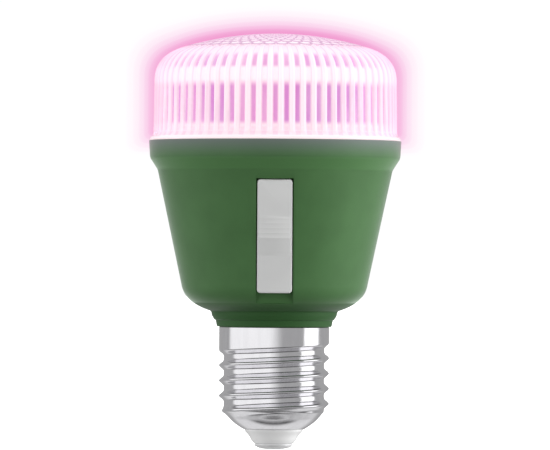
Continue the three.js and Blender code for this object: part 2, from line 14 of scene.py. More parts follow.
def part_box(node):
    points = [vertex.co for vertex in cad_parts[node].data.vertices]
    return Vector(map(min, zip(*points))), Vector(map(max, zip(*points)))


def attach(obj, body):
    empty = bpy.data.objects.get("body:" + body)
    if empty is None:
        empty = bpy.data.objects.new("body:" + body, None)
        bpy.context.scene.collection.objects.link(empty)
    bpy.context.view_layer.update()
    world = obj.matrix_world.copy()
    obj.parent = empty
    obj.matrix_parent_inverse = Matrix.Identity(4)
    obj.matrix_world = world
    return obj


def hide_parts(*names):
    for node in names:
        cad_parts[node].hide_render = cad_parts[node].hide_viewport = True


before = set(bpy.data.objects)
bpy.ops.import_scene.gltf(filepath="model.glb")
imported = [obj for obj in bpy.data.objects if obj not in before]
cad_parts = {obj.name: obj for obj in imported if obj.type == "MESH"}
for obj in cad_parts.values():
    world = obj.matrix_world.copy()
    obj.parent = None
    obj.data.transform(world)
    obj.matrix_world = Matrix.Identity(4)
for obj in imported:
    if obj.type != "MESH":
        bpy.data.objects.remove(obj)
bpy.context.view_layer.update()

MM = 0.001
FULL_TURN = 2 * math.pi

# Sizes in millimetres, within a few tenths of the CAD model's
TAPER = math.radians(12)
CONE_START = (22.25, 39.3)
CONE_END_LEVEL = 66.6
SLIDER_LEVEL = 50.6
WALL = 1.8
RIM_LEVEL = 73.65
COLLAR_TOP = 34.9
CAP_FOOT = 4.75
THREAD = {"crest": 13.17, "root": 12.0, "pitch": 3.629, "crest_level": 18.12, "sharpness": 1.95}
RIB_COUNT = 68
RIB_HEIGHT = 0.85
RIB_HALF = 0.27
NET_COUNT = 44
NET_ROWS = 8.0
NET_HEIGHT = 0.22
CROWN_RADIUS = 21.9
PLAIN_DISC = 2.5
POCKET = {"half_width": 4.4, "floor": 2.3, "low": 34.4, "high": 64.3}
SLIDER = {"half_width": 4.15, "half_length": 13.7, "face": 0.35, "back": 1.95}


# Camera, light and floor

# Strength of the white backdrop, and of the room's plain walls for glossy and for matt surfaces
BACKDROP = 1.02
GLOSSY_WALL = 0.39
MATT_WALL = 0.56


def add_camera():
    """A long lens at the height of the housing's middle, looking almost level at the switch side."""
    data = bpy.data.cameras.new("camera")
    data.lens = 435.6
    data.sensor_width = 36
    data.clip_end = 30
    camera = bpy.data.objects.new("camera", data)
    camera.location = (0, -1.59, 0.0459)
    target = Vector((0.00005, 0, 0.0535))
    level_view = (target - camera.location).to_track_quat("-Z", "Y").to_matrix()
    # The bulb leans a third of a degree to the right in its picture.
    lean = Matrix.Rotation(math.radians(0.33), 3, "Z")
    camera.rotation_euler = (level_view @ lean).to_euler()
    bpy.context.scene.collection.objects.link(camera)
    bpy.context.scene.camera = camera


def math_node(tree, operation, first, second=None, clamp=False):
    """A Math node with sockets or numbers as inputs; returns its output socket."""
    node = tree.nodes.new("ShaderNodeMath")
    node.operation = operation
    node.use_clamp = clamp
    for socket, value in zip(node.inputs, (first, second)):
        if value is None:
            continue
        if isinstance(value, (int, float)):
            socket.default_value = value
        else:
            tree.links.new(value, socket)
    return node.outputs[0]


def step_node(tree, value, low, high):
    """Smooth 0 to 1 as value goes from low to high."""
    node = tree.nodes.new("ShaderNodeMapRange")
    node.interpolation_type = "SMOOTHSTEP"
    node.inputs["From Min"].default_value = low
    node.inputs["From Max"].default_value = high
    tree.links.new(value, node.inputs["Value"])
    return node.outputs[0]


def window_node(tree, value, low, high, soft_low, soft_high):
    """1 between low and high, fading over the soft widths."""
    rise = step_node(tree, value, low - soft_low, low + soft_low)
    fall = step_node(tree, value, high - soft_high, high + soft_high)
    return math_node(tree, "MULTIPLY", rise, math_node(tree, "SUBTRACT", 1, fall))


def add_world():
    """A white room. Glossy surfaces see two soft panels over a table with a dark edge. Matt surfaces
    see a room that is bright at the sides and dim in front and below."""
    world = bpy.data.worlds.new("studio")
    bpy.context.scene.world = world
    world.use_nodes = True
    tree = world.node_tree
    tree.nodes.clear()
    coords = tree.nodes.new("ShaderNodeTexCoord")
    split = tree.nodes.new("ShaderNodeSeparateXYZ")
    tree.links.new(coords.outputs["Generated"], split.inputs[0])
    x, y, z = split.outputs
    path = tree.nodes.new("ShaderNodeLightPath")
    seen = math_node(tree, "MAXIMUM", path.outputs["Is Camera Ray"], path.outputs["Is Transmission Ray"])
    backdrop = background(tree, BACKDROP)
    light = mix_shaders(
        tree,
        path.outputs["Is Diffuse Ray"],
        background(tree, glossy_room(tree, x, y, z)),
        background(tree, matt_room(tree, x, y, z)),
    )
    output = tree.nodes.new("ShaderNodeOutputWorld")
    tree.links.new(mix_shaders(tree, seen, light, backdrop), output.inputs[0])


def background(tree, strength):
    """A white background whose strength is a number or a socket; returns its shader socket."""
    node = tree.nodes.new("ShaderNodeBackground")
    node.inputs["Color"].default_value = (1, 1, 1, 1)
    if isinstance(strength, float):
        node.inputs["Strength"].default_value = strength
    else:
        tree.links.new(strength, node.inputs["Strength"])
    return node.outputs[0]


def mix_shaders(tree, factor, first, second):
    """The first shader where factor is 0, the second where it is 1."""
    mix = tree.nodes.new("ShaderNodeMixShader")
    tree.links.new(factor, mix.inputs[0])
    tree.links.new(first, mix.inputs[1])
    tree.links.new(second, mix.inputs[2])
    return mix.outputs[0]


def glossy_room(tree, x, y, z):
    """Strength of the room that glossy surfaces reflect, from the direction they look in."""
    down = step_node(tree, math_node(tree, "MULTIPLY", z, -1), 0.35, 0.6)
    light = math_node(tree, "ADD", wall_panels(tree, x, y, z), GLOSSY_WALL)
    light = math_node(tree, "ADD", light, math_node(tree, "MULTIPLY", table_top(tree, x, y), down))
    ceiling = math_node(tree, "MULTIPLY", step_node(tree, z, 0.5, 0.65), 0.85)
    dark = math_node(tree, "MAXIMUM", math_node(tree, "MULTIPLY", table_edge(tree, x, y), down), ceiling)
    lit = math_node(tree, "SUBTRACT", 1, math_node(tree, "MULTIPLY", dark, 0.9))
    return math_node(tree, "MULTIPLY", light, lit)


def wall_panels(tree, x, y, z):
    """A wide panel on the left with a soft right edge, and a narrow, brighter one on the right."""
    # Degrees round the bulb from the switch side: left is negative, right is positive.
    heading = math_node(tree, "ARCTAN2", x, math_node(tree, "MULTIPLY", y, -1))
    heading = math_node(tree, "MULTIPLY", heading, 180 / math.pi)
    left = window_node(tree, heading, -106, 5, 5, 17)
    right = window_node(tree, heading, 66, 107, 1.5, 1.5)
    panels = math_node(tree, "MAXIMUM", left, math_node(tree, "MULTIPLY", right, 1.6))
    height = window_node(tree, z, -0.5, 0.62, 0.12, 0.06)
    return math_node(tree, "MULTIPLY", panels, math_node(tree, "MULTIPLY", height, 0.6))


def table_top(tree, x, y):
    """Light from below: brighter than the walls over the table behind the bulb, dimmer elsewhere."""
    across = window_node(tree, x, -0.62, 0.62, 0.15, 0.15)
    table = math_node(tree, "MULTIPLY", across, step_node(tree, y, -0.16, -0.02))
    return math_node(tree, "SUBTRACT", math_node(tree, "MULTIPLY", table, 0.62), 0.26)


def table_edge(tree, x, y):
    """The shaded strip near the middle of the table, with a darker line in it."""
    shade = math_node(tree, "MULTIPLY", window_node(tree, y, -0.02, 0.32, 0.04, 0.1), 0.6)
    line = math_node(tree, "MULTIPLY", window_node(tree, y, 0.14, 0.3, 0.06, 0.08), 0.36)
    across = window_node(tree, x, -0.45, 0.45, 0.2, 0.2)
    return math_node(tree, "MULTIPLY", math_node(tree, "ADD", shade, line), across)


def matt_room(tree, x, y, z):
    """Strength of the room that lights matt surfaces: mostly from the right, then the left and behind."""
    right = math_node(tree, "MULTIPLY", step_node(tree, x, 0.55, 1.0), 3.1)
    leftward = math_node(tree, "MULTIPLY", x, -1)
    left = math_node(tree, "MULTIPLY", step_node(tree, leftward, 0.5, 1.0), 1.25)
    behind = math_node(tree, "MULTIPLY", step_node(tree, y, 0.1, 0.9), 0.9)
    back = math_node(tree, "ADD", behind, MATT_WALL)
    sides = math_node(tree, "ADD", math_node(tree, "ADD", right, left), back)
    height = math_node(tree, "MULTIPLY", step_node(tree, z, -1.3, 0.2), 0.9)
    return math_node(tree, "MULTIPLY", sides, math_node(tree, "ADD", height, 0.1))


def add_softbox(name, location, size, power):
    """A square lamp turned to the bulb, not seen in reflections."""
    data = bpy.data.lights.new(name, "AREA")
    data.shape = "RECTANGLE"
    data.size, data.size_y = size
    data.energy = power
    light = bpy.data.objects.new(name, data)
    light.location = location
    light.rotation_euler = (Vector((0, 0, 0.05)) - light.location).to_track_quat("-Z", "Y").to_euler()
    light.visible_glossy = False
    bpy.context.scene.collection.objects.link(light)


def add_floor():
    """A pale floor that neither lights the bulb nor shows in it."""
    bpy.ops.mesh.primitive_plane_add(size=12, location=(0, 0, -0.0001))
    floor = bpy.context.object
    floor.name = "floor"
    material, tree, shader = new_material("floor_white", (0.93, 0.93, 0.93), 0.9)
    shader.inputs["Emission Color"].default_value = (1, 1, 1, 1)
    shader.inputs["Emission Strength"].default_value = 0.85
    floor.data.materials.append(material)
    floor.visible_glossy = False
    floor.visible_diffuse = False


# Materials


def new_material(name, color, roughness, metallic=0.0):
    """A Principled material; returns it with its node tree and shader."""
    material = bpy.data.materials.new(name)
    material.use_nodes = True
    tree = material.node_tree
    shader = tree.nodes["Principled BSDF"]
    shader.inputs["Base Color"].default_value = (*color, 1)
    shader.inputs["Roughness"].default_value = roughness
    shader.inputs["Metallic"].default_value = metallic
    return material, tree, shader


def noise_node(tree, scale, detail=3.0, stretch=(1, 1, 1)):
    """Noise in object space, scale in waves per metre; returns the factor socket."""
    coords = tree.nodes.new("ShaderNodeTexCoord")
    mapping = tree.nodes.new("ShaderNodeMapping")
    mapping.inputs["Scale"].default_value = stretch
    noise = tree.nodes.new("ShaderNodeTexNoise")
    noise.inputs["Scale"].default_value = scale
    noise.inputs["Detail"].default_value = detail
    tree.links.new(coords.outputs["Object"], mapping.inputs["Vector"])
    tree.links.new(mapping.outputs[0], noise.inputs["Vector"])
    return noise.outputs["Fac"]


def object_axes(tree):
    """The three object-space coordinates, in millimetres."""
    coords = tree.nodes.new("ShaderNodeTexCoord")
    split = tree.nodes.new("ShaderNodeSeparateXYZ")
    tree.links.new(coords.outputs["Object"], split.inputs[0])
    return [math_node(tree, "MULTIPLY", axis, 1 / MM) for axis in split.outputs]


def ramp_node(tree, factor, stops):
    """A colour ramp through (place, colour) stops; returns its colour socket."""
    node = tree.nodes.new("ShaderNodeValToRGB")
    ramp = node.color_ramp
    while len(ramp.elements) < len(stops):
        ramp.elements.new(0.5)
    for element, (place, color) in zip(ramp.elements, stops):
        element.position = place
        element.color = (*color, 1)
    tree.links.new(factor, node.inputs[0])
    return node.outputs[0]


def range_node(tree, factor, low, high):
    """factor from 0..1 stretched to low..high."""
    node = tree.nodes.new("ShaderNodeMapRange")
    node.inputs["To Min"].default_value = low
    node.inputs["To Max"].default_value = high
    tree.links.new(factor, node.inputs["Value"])
    return node.outputs[0]


def mix_colors(tree, factor, first, second):
    """Mix of two colours or colour sockets by a factor socket."""
    node = tree.nodes.new("ShaderNodeMix")
    node.data_type = "RGBA"
    tree.links.new(factor, node.inputs[0])
    for socket, value in ((node.inputs[6], first), (node.inputs[7], second)):
        if isinstance(value, tuple):
            socket.default_value = (*value, 1)
        else:
            tree.links.new(value, socket)
    return node.outputs[2]


def add_bump(tree, shader, height, distance, strength=1.0):
    """Raises the surface where height is 1, by a distance in metres."""
    bump = tree.nodes.new("ShaderNodeBump")
    bump.inputs["Distance"].default_value = distance
    bump.inputs["Strength"].default_value = strength
    tree.links.new(height, bump.inputs["Height"])
    tree.links.new(bump.outputs[0], shader.inputs["Normal"])


def shades(color, spread):
    """A darker and a lighter version of a colour."""
    return [tuple(min(1, c * k) for c in color) for k in (1 - spread, 1 + spread)]


def plastic(name, color, roughness, grain=0.00001, spread=0.06, coat=0.0):
    """Moulded plastic: faint mottling, uneven gloss and the fine grain of an eroded mould."""
    material, tree, shader = new_material(name, color, roughness)
    dark, light = shades(color, spread)
    mottle = noise_node(tree, 180)
    tree.links.new(ramp_node(tree, mottle, [(0.3, dark), (0.7, light)]), shader.inputs["Base Color"])
    gloss = range_node(tree, noise_node(tree, 900), roughness - 0.05, roughness + 0.06)
    tree.links.new(gloss, shader.inputs["Roughness"])
    add_bump(tree, shader, noise_node(tree, 6000, 2), grain)
    shader.inputs["Coat Weight"].default_value = coat
    return material


def metal(name, color, roughness, stretch=(1, 1, 1), grain=0.000004, spread=0.05):
    """Bare or plated metal with drawn streaks along the short stretch axis."""
    material, tree, shader = new_material(name, color, roughness, 1.0)
    dark, light = shades(color, spread)
    streaks = noise_node(tree, 700, 4, stretch)
    tree.links.new(ramp_node(tree, streaks, [(0.35, dark), (0.65, light)]), shader.inputs["Base Color"])
    gloss = range_node(tree, streaks, roughness - 0.04, roughness + 0.06)
    tree.links.new(gloss, shader.inputs["Roughness"])
    add_bump(tree, shader, noise_node(tree, 2500, 3, stretch), grain)
    return material


# Mesh helpers


def object_from(name, vertices, faces, material):
    """A smooth mesh object from millimetre vertices; its faces are turned outwards."""
    mesh = bpy.data.meshes.new(name)
    mesh.from_pydata([tuple(MM * c for c in v) for v in vertices], [], faces)
    shape = bmesh.new()
    shape.from_mesh(mesh)
    bmesh.ops.remove_doubles(shape, verts=shape.verts, dist=1e-7)
    bmesh.ops.recalc_face_normals(shape, faces=shape.faces)
    shape.to_mesh(mesh)
    shape.free()
    return add_object(name, mesh, material)


def add_object(name, mesh, material):
    """Shades a mesh smooth and puts it in the scene."""
    mesh.polygons.foreach_set("use_smooth", [True] * len(mesh.polygons))
    mesh.materials.append(material)
    piece = bpy.data.objects.new(name, mesh)
    bpy.context.scene.collection.objects.link(piece)
    return piece


def grid_faces(rows, sides, closed_rows):
    """Quads between rows of a revolved grid; closed_rows joins the last row to the first."""
    faces = []
    for r in range(rows if closed_rows else rows - 1):
        below = r * sides
        above = (r + 1) % rows * sides
        for s in range(sides):
            beside = (s + 1) % sides
            faces.append((below + s, below + beside, above + beside, above + s))
    return faces


def turned(name, profile, material, sides):
    """Turns (radius, level) points about the axis. The ends lie on the axis or meet."""
    closed = math.dist(profile[0], profile[-1]) < 1e-6
    points = profile[:-1] if closed else profile
    vertices = []
    for radius, level in points:
        for s in range(sides):
            angle = FULL_TURN * s / sides
            vertices.append((radius * math.cos(angle), radius * math.sin(angle), level))
    piece = object_from(name, vertices, grid_faces(len(points), sides, closed), material)
    sharpen(piece)
    return piece


def sharpen(piece, degrees=50):
    """Shades smooth but keeps edges over this angle crisp."""
    shape = bmesh.new()
    shape.from_mesh(piece.data)
    limit = math.radians(degrees)
    for edge in shape.edges:
        edge.smooth = not edge.is_manifold or edge.calc_face_angle(0) < limit
    shape.to_mesh(piece.data)
    shape.free()


def bend(start, control, end, steps):
    """Points of a quadratic curve after its start."""
    points = []
    for i in range(1, steps + 1):
        t = i / steps
        weighted = (((1 - t) ** 2, start), (2 * t * (1 - t), control), (t * t, end))
        points.append(tuple(sum(w * point[k] for w, point in weighted) for k in (0, 1)))
    return points


def rounded(corners, steps=5):
    """A profile through (radius, level, fillet) corners with each corner rounded off."""
    points = []
    for i, corner in enumerate(corners):
        here = Vector(corner[:2])
        fillet = corner[2] if len(corner) > 2 else 0
        if not fillet or i in (0, len(corners) - 1):
            points.append(tuple(here))
            continue
        before = Vector(corners[i - 1][:2]) - here
        after = Vector(corners[i + 1][:2]) - here
        reach = min(fillet, before.length * 0.49, after.length * 0.49)
        start = here + before.normalized() * reach
        end = here + after.normalized() * reach
        points.append(tuple(start))
        points += bend(start, here, end, steps)
    return points


def box_mesh(name, low, high, material, edge=0.0):
    """A box with rounded edges, all in millimetres."""
    shape = bmesh.new()
    bmesh.ops.create_cube(shape, size=1)
    for vertex in shape.verts:
        vertex.co = [MM * (l + (c + 0.5) * (h - l)) for c, l, h in zip(vertex.co, low, high)]
    if edge:
        edges = shape.edges[:]
        bmesh.ops.bevel(shape, geom=edges, offset=edge * MM, segments=2, affect="EDGES", profile=0.5)
    return finish_mesh(name, shape, material)


def finish_mesh(name, shape, material):
    """Turns a finished bmesh into an object with crisp edges."""
    mesh = bpy.data.meshes.new(name)
    bmesh.ops.recalc_face_normals(shape, faces=shape.faces)
    shape.to_mesh(mesh)
    shape.free()
    piece = add_object(name, mesh, material)
    sharpen(piece, 40)
    return piece


def apply_boolean(piece, tool, operation):
    """Cuts or joins with another object, which is then deleted."""
    modifier = piece.modifiers.new("boolean", "BOOLEAN")
    modifier.operation = operation
    modifier.solver = "EXACT"
    modifier.object = tool
    apply_modifiers(piece)
    bpy.data.objects.remove(tool)


def apply_modifiers(piece):
    """Keeps the mesh that the piece's modifiers make."""
    graph = bpy.context.evaluated_depsgraph_get()
    mesh = bpy.data.meshes.new_from_object(piece.evaluated_get(graph))
    piece.modifiers.clear()
    piece.data = mesh


def soften_edges(piece, width, degrees):
    """Rounds edges sharper than this angle."""
    modifier = piece.modifiers.new("bevel", "BEVEL")
    modifier.width = width * MM
    modifier.segments = 2
    modifier.limit_method = "ANGLE"
    modifier.angle_limit = math.radians(degrees)
    apply_modifiers(piece)


def cone_radius(level):
    """Outer radius of the housing's cone."""
    return CONE_START[0] + (level - CONE_START[1]) * math.tan(TAPER)


def along_wall(level):
    """Distance up the sloping wall from the slider's middle to a level."""
    return (level - SLIDER_LEVEL) / math.cos(TAPER)


def on_front_wall(piece):
    """Puts a piece made with x across, y into the bulb and z up the slope on the front wall."""
    middle = Vector((0, -cone_radius(SLIDER_LEVEL), SLIDER_LEVEL)) * MM
    piece.data.transform(Matrix.Translation(middle) @ Matrix.Rotation(TAPER, 4, "X"))
    return piece


def smoothstep(value, low, high):
    """Smooth 0 to 1 as value goes from low to high."""
    t = np.clip((value - low) / (high - low), 0, 1)
    return t * t * (3 - 2 * t)


# Screw cap


def thread_radius(level, angle):
    """Radius of the rolled sheet: a right-hand thread from the cone up into the plain sleeve."""
    crest, root, pitch = THREAD["crest"], THREAD["root"], THREAD["pitch"]
    turns = (level - THREAD["crest_level"]) / pitch - angle / FULL_TURN
    nearest = np.round(turns)
    wave = (0.5 + 0.5 * np.cos(FULL_TURN * (turns - nearest))) ** THREAD["sharpness"]
    crest_angle = angle + FULL_TURN * nearest
    groove_angle = angle + FULL_TURN * (np.floor(turns) + 0.5)
    # Angles where the thread starts and stops, counted from its middle crest
    start = -5 * math.pi
    stop = 3 * math.pi
    fade_in = smoothstep(crest_angle, start - 1.0, start + 1.6)
    fade_out = 1 - smoothstep(groove_angle, stop - 0.2, stop + 2.2)
    base = min(root, cap_cone(level))
    threaded = base + (crest - root) * wave * fade_in
    return crest - (crest - threaded) * fade_out


def cap_cone(level):
    """Radius of the cap's lower end: a rounded shoulder, then a straight cone up to the thread."""
    foot_radius = 7.3
    shoulder_radius, shoulder_height = 10.838, 2.8
    height = level - CAP_FOOT
    if height < shoulder_height:
        return foot_radius + 1.748 * height - 0.173 * height ** 2
    return shoulder_radius + 0.861 * (height - shoulder_height)


def cap_shell(material):
    """The rolled screw shell: threaded outside, plain inside."""
    sides = 216
    cone = np.linspace(CAP_FOOT, 8.6, 18)
    thread = np.arange(8.72, 27.4, 0.13)
    sleeve = [28.2, 28.9, 29.0, 29.1]
    outer_levels = np.concatenate([cone, thread, sleeve])
    rows = [[thread_radius(level, angle) for angle in angles(sides)] for level in outer_levels]
    levels = list(outer_levels)
    inner = [(12.98, 29.16), (12.7, 29.1), (12.7, 26.0), (11.5, 25.4), (11.5, 8.9)]
    inner += [(10.76, 8.3), (9.96, 7.3), (8.86, 6.35), (7.0, 5.0)]
    for radius, level in inner:
        rows.append([radius] * sides)
        levels.append(level)
    vertices = [
        (r * math.cos(a), r * math.sin(a), level)
        for row, level in zip(rows, levels)
        for r, a in zip(row, angles(sides))
    ]
    return object_from("screw_shell", vertices, grid_faces(len(levels), sides, True), material)


def angles(sides):
    """Angles round the axis from -180 to 180 degrees."""
    return [-math.pi + FULL_TURN * (s + 0.5) / sides for s in range(sides)]


def insulator_gloss():
    """Glazed pale insulator, with a faint white emission as painted light that makes it read lighter."""
    material = plastic("insulator_gloss", (0.6, 0.6, 0.6), 0.22, 0.000003, 0.03, coat=0.3)
    shader = material.node_tree.nodes["Principled BSDF"]
    # Painted light: a faint glow on a part that is no lamp
    shader.inputs["Emission Color"].default_value = (1, 1, 1, 1)
    shader.inputs["Emission Strength"].default_value = 0.2
    return material


def solder():
    """Dull tin solder, between a metal and a matt surface."""
    material = metal("solder_contact", (0.86, 0.86, 0.87), 0.4, (1, 1, 1), 0.000008, 0.04)
    material.node_tree.nodes["Principled BSDF"].inputs["Metallic"].default_value = 0.4
    return material


def add_cap():
    """Screw shell, insulator and centre contact."""
    nickel = metal("nickel_plate", (0.86, 0.853, 0.88), 0.12, (1, 1, 0.15), 0.000006, 0.03)
    settle(cap_shell(nickel), "bulb", "cap_nickel", "cap_shell")
    profile = [
        (1.4, 1.35), (4.7, 1.35, 0.1), (5.4, 2.1, 0.6), (5.9, 3.2, 0.8), (6.95, 4.3, 0.3), (7.0, 4.6, 0.1),
        (6.55, 5.4), (9.0, 7.2), (10.7, 9.2), (10.7, 9.8, 0.2), (1.4, 9.8, 0.1), (1.4, 1.35),
    ]
    glass = turned("cap_glass", rounded(profile), insulator_gloss(), 128)
    settle(glass, "bulb", "insulator_grey", "cap_insulator")
    rim = (4.6, 0.95)
    button = [(0, 0), (1.6, 0), *bend((1.6, 0), (3.9, 0.1), rim, 12)]
    stem = [(1, 1.28, 0.1), (1, 8.6, 0.3), (0, 8.6)]
    button += rounded([rim, (4.6, 1.2, 0.1), (4.4, 1.28, 0.1), *stem])[1:]
    settle(turned("contact_button", button, solder(), 128), "bulb", "tin_plate", "centre_contact")


def settle(piece, body, slot, *nodes):
    """Names what a finished piece rides on and the CAD nodes it stands for, which are hidden; the slot,
    its finish, is not used.
    """
    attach(piece, body)
    if nodes:
        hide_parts(*nodes)


# Housing


def housing_profile():
    """The housing's closed section: up the outside from the spigot, over the rim and down the inside."""
    wall = WALL / math.cos(TAPER)
    underside = (15.42, 33.0)
    inner_floor = (12.6, 34.6)
    inner_cone = (cone_radius(40) - wall, 40)
    outer = rounded(
        [
            (11.15, 12), (11.15, 26.3), (12.3, 26.3), (12.3, 29.2), (13.7, 29.2, 0.25),
            (14.02, 30.75, 0.12), (14.35, 30.9, 0.12), (14.95, 31.9, 0.7), (15.1, 32.75, 0.2), underside,
        ]
    )
    outer += bend(underside, (21.6, 34.95), CONE_START, 28)
    outer += rounded(
        [
            CONE_START, (cone_radius(CONE_END_LEVEL), CONE_END_LEVEL, 0.5), (29.9, 69.45, 0.6),
            (30.15, RIM_LEVEL, 0.3), (28.4, RIM_LEVEL, 0.2), (28.4, 69.3), (26.6, 69.3),
            (cone_radius(65.5) - wall, 65.5, 0.6), inner_cone,
        ],
        8,
    )[1:]
    outer += bend(inner_cone, (19.4, 36.6), inner_floor, 10)
    outer += [(11.6, 33), (11.6, 27), (9.5, 25.5), (9.5, 12), (11.15, 12)]
    return outer


def green_plastic(name, sheen):
    """Satin green moulding with painted light and shade: a paler grey-green where the rim would take the
    dome's light, a paler flare, and a deeper green as painted shade on the collar.
    """
    green = (0.066, 0.16, 0.056)
    material, tree, shader = new_material(name, green, 0.48)
    dark, light = shades(green, 0.06)
    body = ramp_node(tree, noise_node(tree, 140, 4), [(0.3, dark), (0.7, light)])
    level = object_axes(tree)[2]
    # Painted shade: a deeper green on the collar and the underside, which the body above shades
    body = mix_colors(tree, step_node(tree, level, 33.0, 35.6), (0.036, 0.105, 0.032), body)
    # Painted light on the flare: a shade paler, because it faces down and would be darker than the sides
    pale = tuple(1.3 * c for c in green)
    body = mix_colors(tree, window_node(tree, level, 66.6, 69.4, 0.4, 0.3), body, pale)
    # Painted light: a paler grey-green towards the rim, where the dome's glow would fall on it
    color = mix_colors(tree, step_node(tree, level, 68.5, 76.5), body, (0.2, 0.235, 0.24))
    tree.links.new(color, shader.inputs["Base Color"])
    grain = noise_node(tree, 3500, 3)
    tree.links.new(range_node(tree, grain, 0.42, 0.54), shader.inputs["Roughness"])
    add_bump(tree, shader, grain, 0.00002, 0.7)
    shader.inputs["Specular IOR Level"].default_value = 0.13
    shader.inputs["Sheen Weight"].default_value = sheen
    shader.inputs["Sheen Roughness"].default_value = 0.3
    shader.inputs["Sheen Tint"].default_value = (0.82, 0.96, 0.83, 1)
    return material


def add_housing():
    """The turned housing with a boss inside its front wall, the slider's pocket and the stem's slot."""
    material = green_plastic("green_moulding", 0.95)
    housing = turned("green_housing", housing_profile(), material, 256)
    low, high = along_wall(POCKET["low"]), along_wall(POCKET["high"])
    half = POCKET["half_width"]

    def wall_box(name, near, far):
        return on_front_wall(box_mesh(name, near, far, material))

    boss = wall_box("boss", (-half - 2, 1.0, low - 1.5), (half + 2, 4.3, high + 1.2))
    limit = turned("limit", [(0, 20), *housing_outside(), (0, 72)], material, 256)
    apply_boolean(boss, limit, "INTERSECT")
    apply_boolean(housing, boss, "UNION")
    pocket = wall_box("pocket", (-half, -5, low), (half, POCKET["floor"], high))
    apply_boolean(housing, pocket, "DIFFERENCE")
    slot = wall_box("slot", (-1.9, 0, -4.5), (1.9, 6, 2.3))
    apply_boolean(housing, slot, "DIFFERENCE")
    soften_edges(housing, 0.14, 38)
    sharpen(housing, 50)
    # Painted shade: the collar and the underside take a copy of the green with less sheen than the sides,
    # so they read darker.
    housing.data.materials.append(green_plastic("green_collar_painted_shade", 0.2))
    for face in housing.data.polygons:
        if face.center.z < COLLAR_TOP * MM:
            face.material_index = 1
    settle(housing, "bulb", "housing_green", "housing_shell")


def housing_outside():
    """The housing's outer outline from its underside up to the flare, a hair inside the real surface."""
    shrink = 0.05
    foot = (15.3, 33.0)
    points = [foot, *bend(foot, (21.6, 34.95), CONE_START, 28), (cone_radius(68), 68)]
    return [(foot[0] - shrink, 20)] + [(r - shrink, level + shrink) for r, level in points] + [(20, 72)]


# Slider


def hump_outline():
    """The finger hump from the side as (depth, height up the slope): a ridged ramp over a smooth heel."""
    face = SLIDER["face"]
    buried = face + 0.3
    top, peak, heel, height, ridges = 5.5, -0.2, -4.9, 0.62, 5
    outline = [(buried, heel - 0.4), (face + 0.02, heel)]
    outline += bend((face + 0.02, heel), (face - 0.05, heel + 0.7), (0.1, -3.4), 3)
    outline += bend((face - height + 0.16, -0.9), (-0.29, -0.3), (face - height, peak + 0.1), 4)
    for i in range(1, ridges + 1):
        share = i / ridges
        place = peak + (top - peak) * share
        depth = face - height * (1 - share)
        groove = 0.06 * (1 - share) + 0.015
        outline += [(depth + groove, place - 0.3), (depth, place - 0.06), (depth, place + 0.02)]
    outline.append((buried, top + 0.3))
    return outline


def prism_across(name, outline, half_width, material):
    """Extrudes a (depth, height) outline across the front wall's x axis."""
    rings = [[(x, depth, height) for depth, height in outline] for x in (-half_width, half_width)]
    return lofted(name, rings, material)


def lofted(name, rings, material):
    """A closed body through rings of millimetre points, with flat ends."""
    shape = bmesh.new()
    loops = [[shape.verts.new([MM * c for c in point]) for point in ring] for ring in rings]
    for low, high in zip(loops, loops[1:]):
        bridge(shape, low, high, 0)
    shape.faces.new(loops[0])
    shape.faces.new(loops[-1][::-1])
    return finish_mesh(name, shape, material)


def bridge(shape, low, high, material_index):
    """Quads between two loops with the same number of points."""
    count = len(low)
    for i in range(count):
        j = (i + 1) % count
        face = shape.faces.new((low[i], low[j], high[j], high[i]))
        face.material_index = material_index


def add_slider():
    """The plate with its finger hump, and the forked stem that takes the switch's lever."""
    material = plastic("grey_slider", (0.745, 0.75, 0.745), 0.42, 0.000006, 0.02)
    half, length = SLIDER["half_width"], SLIDER["half_length"]
    plate = rounded_plate("slider", half, length, SLIDER["face"], SLIDER["back"], 0.85, material)
    hump = prism_across("hump", hump_outline(), half - 0.4, material)
    apply_boolean(plate, hump, "UNION")
    stem = box_mesh("stem", (-1.6, 1.5, -2), (1.6, 7.6, 2), material, 0.1)
    notch = box_mesh("notch", (-3, 5.9, -1.1), (3, 9, 1.1), material)
    apply_boolean(stem, notch, "DIFFERENCE")
    apply_boolean(plate, stem, "UNION")
    soften_edges(plate, 0.08, 32)
    sharpen(plate, 45)
    settle(on_front_wall(plate), "slider", "slider_grey", "slider_plate")


def rounded_plate(name, half_width, half_length, front, back, corner, material):
    """A flat plate in x and z with round corners and a rounded front edge."""
    edge = 0.32
    steps = 6
    outline = []
    for quarter in range(4):
        cx = (half_width - corner) * (1 if quarter in (0, 3) else -1)
        cz = (half_length - corner) * (1 if quarter in (0, 1) else -1)
        for i in range(steps + 1):
            angle = (quarter + i / steps) * math.pi / 2
            outline.append((cx, cz, math.cos(angle), math.sin(angle)))
    layers = [(back, 0)]
    for turn in np.linspace(0, math.pi / 2, steps):
        layers.append((front + edge * (1 - math.sin(turn)), edge * (1 - math.cos(turn))))
    rings = []
    for depth, inset in layers:
        reach = corner - inset
        rings.append([(x + reach * c, depth, z + reach * s) for x, z, c, s in outline])
    return lofted(name, rings, material)


# Dome


